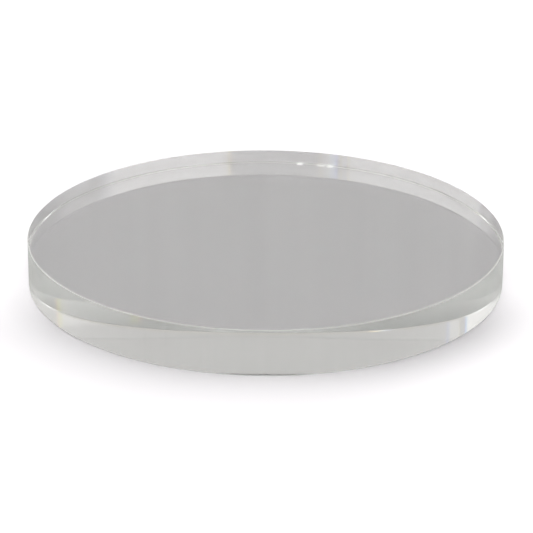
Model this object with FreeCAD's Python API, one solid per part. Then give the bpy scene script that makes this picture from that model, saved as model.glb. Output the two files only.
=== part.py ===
"""A thick, round, clear acrylic disc, cut from one piece of cast sheet.

The disc lies flat. Its two faces and its rim are polished, and the sharp edge
where each face meets the rim is taken off by a narrow 45 degree chamfer.

Units are millimetres. +Z is up, along the disc's axis. The origin is the
centre of the bottom face, which rests on the table at Z = 0.
"""

import FreeCAD, Part
import os

# Driving dimensions
DISC_DIAMETER = 254.0  # across the rim, which is a true cylinder
DISC_THICKNESS = 25.0  # one stock thickness of cast sheet
EDGE_CHAMFER = 0.5  # leg of the chamfer on both rim edges

# Worked out from them
DISC_RADIUS = DISC_DIAMETER / 2
FLAT_RADIUS = DISC_RADIUS - EDGE_CHAMFER  # of each flat face, inside its chamfer
RIM_BOTTOM = EDGE_CHAMFER
RIM_TOP = DISC_THICKNESS - EDGE_CHAMFER

AXIS_POINT = FreeCAD.Vector(0, 0, 0)
AXIS_DIRECTION = FreeCAD.Vector(0, 0, 1)


def half_section():
    """The area on one side of the axis, which turns to make the disc."""
    outline = [
        (0, 0),
        (FLAT_RADIUS, 0),
        (DISC_RADIUS, RIM_BOTTOM),
        (DISC_RADIUS, RIM_TOP),
        (FLAT_RADIUS, DISC_THICKNESS),
        (0, DISC_THICKNESS),
    ]
    corners = [FreeCAD.Vector(radius, 0, height) for radius, height in outline]
    return Part.Face(Part.makePolygon(corners + corners[:1]))


def template_disc():
    """The whole disc as one closed solid."""
    return half_section().revolve(AXIS_POINT, AXIS_DIRECTION, 360)


def main():
    os.makedirs("parts", exist_ok=True)
    nodes = {"template_disc": template_disc()}
    for name, shape in nodes.items():
        shape.exportStep("parts/" + name + ".step")
        volume_cm3 = shape.Volume / 1000
        print(name, "valid", shape.isValid(), "volume", round(volume_cm3, 2), "cm3")


main()
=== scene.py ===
"""The looks of a thick, round, clear acrylic disc, on a pale floor in a soft studio.

Everything is in metres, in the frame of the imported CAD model: +Z is up, the disc
stands on Z = 0 and its axis is the Z axis. The camera stands on the -Y side.
"""

import math

import bpy
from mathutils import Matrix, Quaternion, Vector


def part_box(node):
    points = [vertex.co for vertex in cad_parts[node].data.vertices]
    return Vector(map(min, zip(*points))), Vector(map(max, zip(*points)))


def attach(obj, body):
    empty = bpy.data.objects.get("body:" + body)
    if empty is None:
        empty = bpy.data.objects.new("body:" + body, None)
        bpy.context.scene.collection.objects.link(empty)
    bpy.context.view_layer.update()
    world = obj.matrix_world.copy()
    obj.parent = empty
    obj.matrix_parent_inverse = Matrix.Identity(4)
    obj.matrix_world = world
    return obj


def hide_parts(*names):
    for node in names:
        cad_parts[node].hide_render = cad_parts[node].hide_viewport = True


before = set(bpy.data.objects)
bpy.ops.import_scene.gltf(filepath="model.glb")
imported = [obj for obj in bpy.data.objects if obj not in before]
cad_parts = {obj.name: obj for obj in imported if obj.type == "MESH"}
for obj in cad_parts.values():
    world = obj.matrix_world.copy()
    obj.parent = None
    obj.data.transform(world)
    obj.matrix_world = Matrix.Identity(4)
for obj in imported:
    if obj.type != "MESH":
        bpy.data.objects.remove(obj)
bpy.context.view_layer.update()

MM = 0.001

# The disc, from the frame
disc_low, disc_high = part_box("template_disc")
RADIUS = (disc_high[0] - disc_low[0]) / 2
THICKNESS = disc_high[2] - disc_low[2]
CHAMFER = 0.5 * MM
MIDDLE = Vector((0, 0, THICKNESS / 2))

# The camera
CAMERA_DISTANCE = 11.03 * RADIUS
CAMERA_ELEVATION = math.radians(22.57)
CAMERA_ROLL = math.radians(0.31)
CAMERA_LENS = 176.4
AIM_RIGHT = 0.45 * MM
AIM_BELOW = 7.2 * MM


# ---------------------------------------------------------------- node helpers


class Nodes:
    """Writes a node tree: each call adds a node and returns its first output."""

    def __init__(self, tree):
        self.tree = tree
        tree.nodes.clear()

    def add(self, kind, **values):
        node = self.tree.nodes.new(kind)
        for name, value in values.items():
            setattr(node, name, value)
        return node

    def plug(self, socket, value):
        if isinstance(value, bpy.types.NodeSocket):
            self.tree.links.new(value, socket)
        else:
            socket.default_value = value

    def math(self, operation, *values):
        node = self.add("ShaderNodeMath", operation=operation)
        for socket, value in zip(node.inputs, values):
            self.plug(socket, value)
        return node.outputs[0]

    def ramp(self, value, start, end, low=0.0, high=1.0, soft=True):
        """low at start, high at end, and held outside them."""
        node = self.add("ShaderNodeMapRange")
        node.interpolation_type = "SMOOTHSTEP" if soft else "LINEAR"
        node.clamp = True
        names = ("Value", "From Min", "From Max", "To Min", "To Max")
        for name, number in zip(names, (value, start, end, low, high)):
            self.plug(node.inputs[name], number)
        return node.outputs["Result"]

    def between(self, value, start, start_soft, end, end_soft):
        """1 from start to end and 0 outside, with edges as soft as they say."""
        rise = self.ramp(value, start - start_soft, start + start_soft)
        fall = self.ramp(value, end - end_soft, end + end_soft, 1.0, 0.0)
        return self.math("MULTIPLY", rise, fall)

    def split(self, vector):
        node = self.add("ShaderNodeSeparateXYZ")
        self.plug(node.inputs[0], vector)
        return node.outputs

    def degrees(self, operation, *values):
        return self.math("MULTIPLY", self.math(operation, *values), 180 / math.pi)


# ----------------------------------------------------------------------- world

# Directions in the room are an azimuth, 0 behind the disc and positive to the
# right, and an elevation, both in degrees. A light is a patch between two azimuths
# and two elevations: start, softness, end, softness of each. The disc shows the low
# shelf of elevations in its back rim and the high shelf through its front rim.

NEUTRAL = (1, 1, 1)
COOL = (0.9, 0.97, 1.1)
BLUE = (0.8, 0.96, 1.15)
AMBER = (1.15, 0.97, 0.65)
FRONT_SHELF = (18.3, 0.7, 32, 4)
LOW_SHELF = (18.3, 0.7, 22.3, 0.4)
HIGH_SHELF = (22.3, 0.4, 28, 2)
THIN_SHELF = (22.3, 0.4, 24.12, 0.12)
LAMP_SHELF = (49, 1, 56, 1)
LIGHTS = (
    # the large soft light on the right, the wall that it lights, and the light's top
    {"across": (89, 11, 162, 0.4), "up": LOW_SHELF, "glow": 2.38},
    {"across": (48, 20, 100, 11), "up": LOW_SHELF, "glow": 1.2},
    {"across": (135, 10, 162, 0.4), "up": THIN_SHELF, "glow": 2.7},
    # the large soft light on the left and the wall that it lights
    {"across": (-139, 0.8, -46, 5), "up": LOW_SHELF, "glow": 2.25},
    {"across": (-60, 5, -30, 9), "up": LOW_SHELF, "glow": 1.35},
    # daylight between blinds, beside the left light
    {"across": (-142.8, 0.3, -139, 1), "up": LOW_SHELF, "glow": 1.85},
    {"across": (-149, 0.3, -144.6, 0.3), "up": LOW_SHELF, "glow": 2.2, "tint": COOL},
    {"across": (-153.3, 0.4, -149, 0.3), "up": LOW_SHELF, "glow": 1.7},
    # a tall window with a bar in it, and the blue fringes at their edges
    {"across": (-90, 10, -47, 0.25), "up": HIGH_SHELF, "glow": 0.84},
    {"across": (-43.6, 0.25, -38.8, 0.25), "up": HIGH_SHELF, "glow": 0.65},
    {"across": (-47.1, 0.15, -46.3, 0.15), "up": HIGH_SHELF, "glow": 0.74, "tint": BLUE},
    {"across": (-38.9, 0.15, -38.1, 0.15), "up": HIGH_SHELF, "glow": 0.6, "tint": BLUE},
    # a small lamp near the ceiling, with coloured edges, and one beside the window
    {"across": (-126, 0.5, -123.2, 0.4), "up": LAMP_SHELF, "glow": 1.9, "tint": AMBER},
    {"across": (-123.2, 0.4, -120.4, 0.5), "up": LAMP_SHELF, "glow": 1.7, "tint": BLUE},
    {"across": (-108, 0.6, -103, 0.6), "up": (24, 0.5, 27.5, 0.5), "glow": 2.2},
)

# The walls and the ceiling: their brightness, their tints, how far aside or up they
# change, and the fine unevenness that shows as faint upright streaks
WALL_BEHIND, WALL_BESIDE, WALL_IN_FRONT = 0.475, 0.565, 1.22
BESIDE_FROM = 50
IN_FRONT_STARTS = (95, 150)
ROOM_TINT = (1.0, 0.99, 0.965)
CEILING = 0.6
CEILING_TINT = (1.0, 0.96, 0.86)
CEILING_STARTS = (26, 36)
UNEVENNESS, STREAKS_PER_DEGREE = 0.05, 1.6

# How much wider than green each colour sees the room's azimuths
COLOUR_SPREADS = (-0.0015, 0.0, 0.0055)

# The overhead lamp, and the plain white that the camera sees behind everything
LAMP_STARTS = (46, 58)
LAMP_GLOW = 3.7
BACKDROP = 1.2


def room_level(n, azimuth, high, ups, forward_up, channel):
    """How bright the walls, ceiling and lights are, for one colour channel."""
    aside = n.math("ABSOLUTE", azimuth)
    wall = n.ramp(aside, 0, BESIDE_FROM, WALL_BEHIND, WALL_BESIDE)
    level = n.ramp(high, 0, 1, wall, CEILING * CEILING_TINT[channel], soft=False)
    forward = n.ramp(aside, *IN_FRONT_STARTS, 0.0, WALL_IN_FRONT)
    forward = n.math("MULTIPLY", forward, forward_up)
    level = n.math("MAXIMUM", level, forward)
    for light, up in zip(LIGHTS, ups):
        across = n.between(azimuth, *light["across"])
        glow = light["glow"] * light.get("tint", NEUTRAL)[channel]
        patch = n.math("MULTIPLY", n.math("MULTIPLY", across, up), glow)
        level = n.math("MAXIMUM", level, patch)
    return n.math("MULTIPLY", level, ROOM_TINT[channel])


def studio():
    """The room, which the disc shows, and the plain white that the camera sees."""
    world = bpy.data.worlds.new("studio")
    bpy.context.scene.world = world
    world.use_nodes = True
    n = Nodes(world.node_tree)
    direction = n.add("ShaderNodeTexCoord").outputs["Generated"]
    x, y, z = n.split(direction)
    azimuth = n.degrees("ARCTAN2", x, y)
    elevation = n.degrees("ARCSINE", z)
    high = n.ramp(elevation, *CEILING_STARTS)

    # Clear plastic bends blue light a little more than red, which edges what is
    # seen through it with colour: here each colour has its own azimuth instead.
    ups = [n.between(elevation, *light["up"]) for light in LIGHTS]
    forward_up = n.between(elevation, *FRONT_SHELF)
    walls = n.add("ShaderNodeCombineXYZ")
    for channel, spread in enumerate(COLOUR_SPREADS):
        seen = n.math("MULTIPLY", azimuth, 1 + spread)
        level = room_level(n, seen, high, ups, forward_up, channel)
        n.plug(walls.inputs[channel], level)
    streaks = n.add("ShaderNodeTexNoise", noise_dimensions="1D")
    n.plug(streaks.inputs["W"], azimuth)
    streaks.inputs["Scale"].default_value = STREAKS_PER_DEGREE
    streaks.inputs["Detail"].default_value = 3
    uneven = n.ramp(streaks.outputs[0], 0.25, 0.75, 1 - UNEVENNESS, 1 + UNEVENNESS)
    room = n.add("ShaderNodeVectorMath", operation="SCALE")
    n.plug(room.inputs[0], walls.outputs[0])
    n.plug(room.inputs["Scale"], uneven)

    # The overhead lamp lights the floor, and isn't seen in the disc.
    path = n.add("ShaderNodeLightPath").outputs
    overhead = n.ramp(elevation, *LAMP_STARTS, 0.0, LAMP_GLOW)
    polished = n.math("MAXIMUM", path["Is Transmission Ray"], path["Is Glossy Ray"])
    straight = n.math("LESS_THAN", path["Diffuse Depth"], 0.5)
    shown = n.math("SUBTRACT", 1.0, n.math("MULTIPLY", polished, straight))
    total = n.add("ShaderNodeVectorMath", operation="ADD")
    n.plug(total.inputs[0], room.outputs[0])
    n.plug(total.inputs[1], n.math("MULTIPLY", overhead, shown))

    lit = n.add("ShaderNodeBackground")
    n.plug(lit.inputs["Color"], total.outputs[0])
    white = n.add("ShaderNodeBackground")
    white.inputs["Color"].default_value = (1, 1, 1, 1)
    white.inputs["Strength"].default_value = BACKDROP
    mix = n.add("ShaderNodeMixShader")
    n.plug(mix.inputs[0], path["Is Camera Ray"])
    n.plug(mix.inputs[1], lit.outputs[0])
    n.plug(mix.inputs[2], white.outputs[0])
    out = n.add("ShaderNodeOutputWorld")
    n.plug(out.inputs["Surface"], mix.outputs[0])


# ----------------------------------------------------------------------- stage

# The paper, as the disc shows it: greys painted darker than the paper seen directly, as
# painted shade, with a painted brighter middle in front. The tints are for the paper under
# the disc and around it.
UNDER_TINT, AROUND_TINT = (1.0, 0.992, 1.03), (1.0, 1.02, 1.01)
PAPER_UNDER = 0.2415
PAPER_BEHIND, PAPER_BEHIND_ASIDE = 0.242, 0.194
BEHIND_TURNS = (3, 8)
PAPER_BESIDE = 0.07
PAPER_FAR = 0.36
PAPER_FRONT_MIDDLE, PAPER_FRONT_SIDE = 0.62, 0.30
FRONT_ENDS = -0.6 * RADIUS

# A thin ring and glints on the paper, which stand in for the light that the disc
# gathers along its bottom edge. Glints are (degrees round from the back, half width in
# degrees, brightness).
RIM_LIGHT, RIM_LIGHT_MIDDLE = 0.51, 0.4
RIM_TURNS = (9, 15)
RIM_INSIDE, GLINT_INSIDE, RIM_OUTSIDE = 0.6 * MM, 2.5 * MM, 0.4 * MM
GLINTS = ((8.9, 0.7, 0.42), (14.6, 1.0, 0.2), (17.0, 0.8, 0.3))

# The paper, as seen directly: white, with a painted soft shade in front of the disc
PAPER_SEEN = 0.54
PAPER_TINT = (1.0, 0.99, 1.035)
SHADE_LEFT, SHADE_MIDDLE, SHADE_RIGHT = 0.29, 0.245, 0.385
SHADE_WIDTH_LEFT, SHADE_WIDTH_RIGHT = 0.38 * RADIUS, 0.27 * RADIUS

FLOOR_HALF = 9.0
FLOOR_DROP = 0.05 * MM


def paper_through(n, x, y, reach):
    """The grey of the paper where it is seen through the disc or reflected: painted shade
    and light by place, with a painted ring of light and painted glints along the disc's
    bottom edge.
    """
    aside = n.math("ABSOLUTE", x)
    front = n.ramp(aside, 0.3 * RADIUS, RADIUS, PAPER_FRONT_MIDDLE, PAPER_FRONT_SIDE)
    turn = n.degrees("ARCTAN2", x, y)
    turned = n.math("ABSOLUTE", turn)
    behind = n.ramp(turned, *BEHIND_TURNS, PAPER_BEHIND, PAPER_BEHIND_ASIDE)
    around = n.ramp(y, FRONT_ENDS, 0.0, front, behind)
    around = n.math("ADD", around, n.ramp(aside, 0.85 * RADIUS, RADIUS, 0.0, PAPER_BESIDE))
    around = n.ramp(reach, 1.6 * RADIUS, 2.4 * RADIUS, around, PAPER_FAR)
    grey = n.ramp(reach, RADIUS - 2 * MM, RADIUS - CHAMFER, PAPER_UNDER, around)
    rim = n.ramp(turned, *RIM_TURNS, RIM_LIGHT_MIDDLE, RIM_LIGHT)
    outside = RADIUS + RIM_OUTSIDE
    edge = n.between(reach, RADIUS - RIM_INSIDE, 0.1 * MM, outside, 0.2 * MM)
    grey = n.ramp(edge, 0, 1, grey, rim, soft=False)
    wide = n.between(reach, RADIUS - GLINT_INSIDE, 0.4 * MM, outside, 0.2 * MM)
    for centre, half, bright in GLINTS:
        glint = n.between(turn, centre - half, 0.3, centre + half, 0.3)
        glint = n.math("MULTIPLY", n.math("MULTIPLY", glint, wide), bright)
        grey = n.math("ADD", grey, glint)
    return grey


def painted_paper_shade(n, x, y, reach):
    """Painted shade near the front of the disc: how much of the paper's white is left
    there.
    """
    sideways = n.math("DIVIDE", x, reach)
    forward = n.math("DIVIDE", n.math("MULTIPLY", y, -1), reach)
    right = n.ramp(sideways, 0, 0.75, 0.0, SHADE_RIGHT - SHADE_MIDDLE)
    left = n.ramp(sideways, -0.5, 0, SHADE_LEFT - SHADE_MIDDLE, 0.0)
    depth = n.math("ADD", n.math("ADD", left, right), SHADE_MIDDLE)
    ends = n.ramp(sideways, 0, 0.7, RADIUS + SHADE_WIDTH_LEFT, RADIUS + SHADE_WIDTH_RIGHT)
    near = n.ramp(reach, RADIUS, ends, 1.0, 0.0, soft=False)
    shade = n.math("MULTIPLY", n.math("MULTIPLY", near, depth), n.ramp(forward, 0.05, 0.62))
    return n.math("SUBTRACT", 1.0, shade)


def floor_material():
    material = bpy.data.materials.new("floor_paper")
    material.use_nodes = True
    n = Nodes(material.node_tree)
    place = n.add("ShaderNodeTexCoord").outputs["Object"]
    x, y, _ = n.split(place)
    length = n.add("ShaderNodeVectorMath", operation="LENGTH")
    n.plug(length.inputs[0], place)
    reach = length.outputs["Value"]

    tint = n.add("ShaderNodeCombineXYZ")
    for channel in range(3):
        under, around = UNDER_TINT[channel], AROUND_TINT[channel]
        n.plug(tint.inputs[channel], n.ramp(reach, RADIUS - 2 * MM, RADIUS, under, around))
    grey = n.add("ShaderNodeVectorMath", operation="SCALE")
    n.plug(grey.inputs[0], tint.outputs[0])
    n.plug(grey.inputs["Scale"], paper_through(n, x, y, reach))
    through = n.add("ShaderNodeBsdfDiffuse")
    n.plug(through.inputs["Color"], grey.outputs[0])
    seen = n.add("ShaderNodeVectorMath", operation="SCALE")
    seen.inputs[0].default_value = [PAPER_SEEN * part for part in PAPER_TINT]
    n.plug(seen.inputs["Scale"], painted_paper_shade(n, x, y, reach))
    direct = n.add("ShaderNodeBsdfDiffuse")
    n.plug(direct.inputs["Color"], seen.outputs[0])

    # The same paper in two copies: white where the camera sees it, painted darker greys
    # where the disc shows it.
    mix = n.add("ShaderNodeMixShader")
    n.plug(mix.inputs[0], n.add("ShaderNodeLightPath").outputs["Is Camera Ray"])
    n.plug(mix.inputs[1], through.outputs[0])
    n.plug(mix.inputs[2], direct.outputs[0])
    out = n.add("ShaderNodeOutputMaterial")
    n.plug(out.inputs["Surface"], mix.outputs[0])
    return material


def floor():
    """A wide sheet, a hair below the disc so that their faces don't coincide."""
    half = FLOOR_HALF
    corners = [(-half, -half), (half, -half), (half, half), (-half, half)]
    mesh = bpy.data.meshes.new("floor")
    mesh.from_pydata([(x, y, -FLOOR_DROP) for x, y in corners], [], [(0, 1, 2, 3)])
    mesh.materials.append(floor_material())
    obj = bpy.data.objects.new("floor", mesh)
    bpy.context.scene.collection.objects.link(obj)


# ------------------------------------------------------------------------ disc

SEGMENTS = 720
FACE_STEPS, WALL_STEPS = 10, 10
IOR = 1.49
RIPPLE_SIZE, RIPPLE_DEPTH = 18 * MM, 0.002 * MM
MARK_SIZE, MARK_ROUGHNESS = 6 * MM, 0.02
MARK_STRETCH = (0.2, 1, 1)

# The scraped edges: their grey near the middle line and out at the sides. This change is
# painted light
# and shade: the top edge is painted lighter towards the sides, the bottom edge darker
# there.
TOP_EDGE_PAINTED_GREYS, TOP_EDGE_ROUGHNESS, TOP_EDGE_CLEARNESS = (0.38, 0.62), 0.15, 0.35
BOTTOM_EDGE_PAINTED_GREYS, BOTTOM_EDGE_ROUGHNESS, BOTTOM_EDGE_CLEARNESS = (0.8, 0.55), 0.12, 1.0


def profile():
    """(radius, height) from the centre of the bottom face to that of the top face."""
    flat = RADIUS - CHAMFER
    rings = [0.0]
    rings += [flat * step / FACE_STEPS for step in range(1, FACE_STEPS)]
    rings += [flat - 1 * MM, flat]
    bottom = [(r, 0.0) for r in rings]
    low, high = CHAMFER, THICKNESS - CHAMFER
    wall = [(RADIUS, low + (high - low) * s / WALL_STEPS) for s in range(WALL_STEPS + 1)]
    top = [(r, THICKNESS) for r in reversed(rings)]
    return bottom + wall + top


def disc_mesh():
    """The profile turned round the axis, smooth but for its edges."""
    points = profile()
    verts = []
    faces = []
    rows = []
    for radius, height in points:
        if radius == 0:
            rows.append([len(verts)] * SEGMENTS)
            verts.append((0, 0, height))
            continue
        row = []
        for s in range(SEGMENTS):
            angle = 2 * math.pi * s / SEGMENTS
            row.append(len(verts))
            verts.append((radius * math.cos(angle), radius * math.sin(angle), height))
        rows.append(row)
    for lower, upper in zip(rows, rows[1:]):
        for s in range(SEGMENTS):
            t = (s + 1) % SEGMENTS
            corners = [lower[s], lower[t], upper[t], upper[s]]
            unique = list(dict.fromkeys(corners))
            faces.append(unique)
    mesh = bpy.data.meshes.new("clear_disc")
    mesh.from_pydata(verts, [], faces)
    mesh.validate()
    mesh.polygons.foreach_set("use_smooth", [True] * len(mesh.polygons))
    mesh.set_sharp_from_angle(angle=math.radians(20))
    mesh.update()
    return mesh


def clear_acrylic():
    """Polished and colourless, with the faint ripple and wiping marks of cast sheet."""
    material = bpy.data.materials.new("clear_acrylic")
    material.use_nodes = True
    n = Nodes(material.node_tree)
    place = n.add("ShaderNodeTexCoord").outputs["Object"]
    ripple = n.add("ShaderNodeTexNoise")
    n.plug(ripple.inputs["Vector"], place)
    ripple.inputs["Scale"].default_value = 1 / RIPPLE_SIZE
    ripple.inputs["Detail"].default_value = 1
    bump = n.add("ShaderNodeBump")
    bump.inputs["Distance"].default_value = RIPPLE_DEPTH
    n.plug(bump.inputs["Height"], ripple.outputs[0])

    marks = n.add("ShaderNodeTexNoise")
    stretch = n.add("ShaderNodeVectorMath", operation="MULTIPLY")
    n.plug(stretch.inputs[0], place)
    stretch.inputs[1].default_value = MARK_STRETCH
    n.plug(marks.inputs["Vector"], stretch.outputs[0])
    marks.inputs["Scale"].default_value = 1 / MARK_SIZE
    marks.inputs["Detail"].default_value = 4
    haze = n.ramp(marks.outputs[0], 0.55, 0.8, 0.0, MARK_ROUGHNESS)

    glass = n.add("ShaderNodeBsdfPrincipled")
    glass.inputs["Base Color"].default_value = (1, 1, 1, 1)
    glass.inputs["IOR"].default_value = IOR
    glass.inputs["Transmission Weight"].default_value = 1.0
    n.plug(glass.inputs["Roughness"], haze)
    n.plug(glass.inputs["Normal"], bump.outputs[0])
    out = n.add("ShaderNodeOutputMaterial")
    n.plug(out.inputs["Surface"], glass.outputs[0])
    return material


def scraped_edge_painted_shading(name, painted_greys, roughness, clearness):
    """A narrow edge as the scraper left it, with its grey painted to change towards the
    sides as painted light and shade.
    """
    material = bpy.data.materials.new(name)
    material.use_nodes = True
    n = Nodes(material.node_tree)
    x, _, _ = n.split(n.add("ShaderNodeTexCoord").outputs["Object"])
    aside = n.math("ABSOLUTE", x)
    grey = n.ramp(aside, 0.3 * RADIUS, 0.95 * RADIUS, *painted_greys)
    glass = n.add("ShaderNodeBsdfPrincipled")
    n.plug(glass.inputs["Base Color"], grey)
    glass.inputs["Roughness"].default_value = roughness
    glass.inputs["IOR"].default_value = IOR
    glass.inputs["Transmission Weight"].default_value = clearness
    out = n.add("ShaderNodeOutputMaterial")
    n.plug(out.inputs["Surface"], glass.outputs[0])
    return material


def disc():
    mesh = disc_mesh()
    top = TOP_EDGE_PAINTED_GREYS, TOP_EDGE_ROUGHNESS, TOP_EDGE_CLEARNESS
    bottom = BOTTOM_EDGE_PAINTED_GREYS, BOTTOM_EDGE_ROUGHNESS, BOTTOM_EDGE_CLEARNESS
    mesh.materials.append(clear_acrylic())
    mesh.materials.append(scraped_edge_painted_shading("top_edge", *top))
    mesh.materials.append(scraped_edge_painted_shading("bottom_edge", *bottom))
    for polygon in mesh.polygons:
        if 0.1 < abs(polygon.normal.z) < 0.99:
            polygon.material_index = 1 if polygon.normal.z > 0 else 2
    obj = bpy.data.objects.new("clear_disc", mesh)
    bpy.context.scene.collection.objects.link(obj)
    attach(obj, "root")
    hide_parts("template_disc")


# ---------------------------------------------------------------------- camera


def camera():
    data = bpy.data.cameras.new("camera")
    obj = bpy.data.objects.new("camera", data)
    bpy.context.scene.collection.objects.link(obj)
    data.lens = CAMERA_LENS
    data.sensor_width = 36
    data.clip_start, data.clip_end = 0.01, 50
    back = Vector((0, -math.cos(CAMERA_ELEVATION), math.sin(CAMERA_ELEVATION)))
    obj.location = MIDDLE + back * CAMERA_DISTANCE
    aim = MIDDLE + Vector((AIM_RIGHT, 0, -AIM_BELOW))
    turn = (aim - obj.location).to_track_quat("-Z", "Y")
    obj.rotation_mode = "QUATERNION"
    obj.rotation_quaternion = turn @ Quaternion((0, 0, 1), CAMERA_ROLL)
    bpy.context.scene.camera = obj


def settings():
    scene = bpy.context.scene
    scene.view_settings.view_transform = "Standard"
    scene.cycles.max_bounces = 24
    scene.cycles.glossy_bounces = 20
    scene.cycles.transmission_bounces = 20
    scene.cycles.blur_glossy = 0.0


camera()
studio()
floor()
disc()
settings()
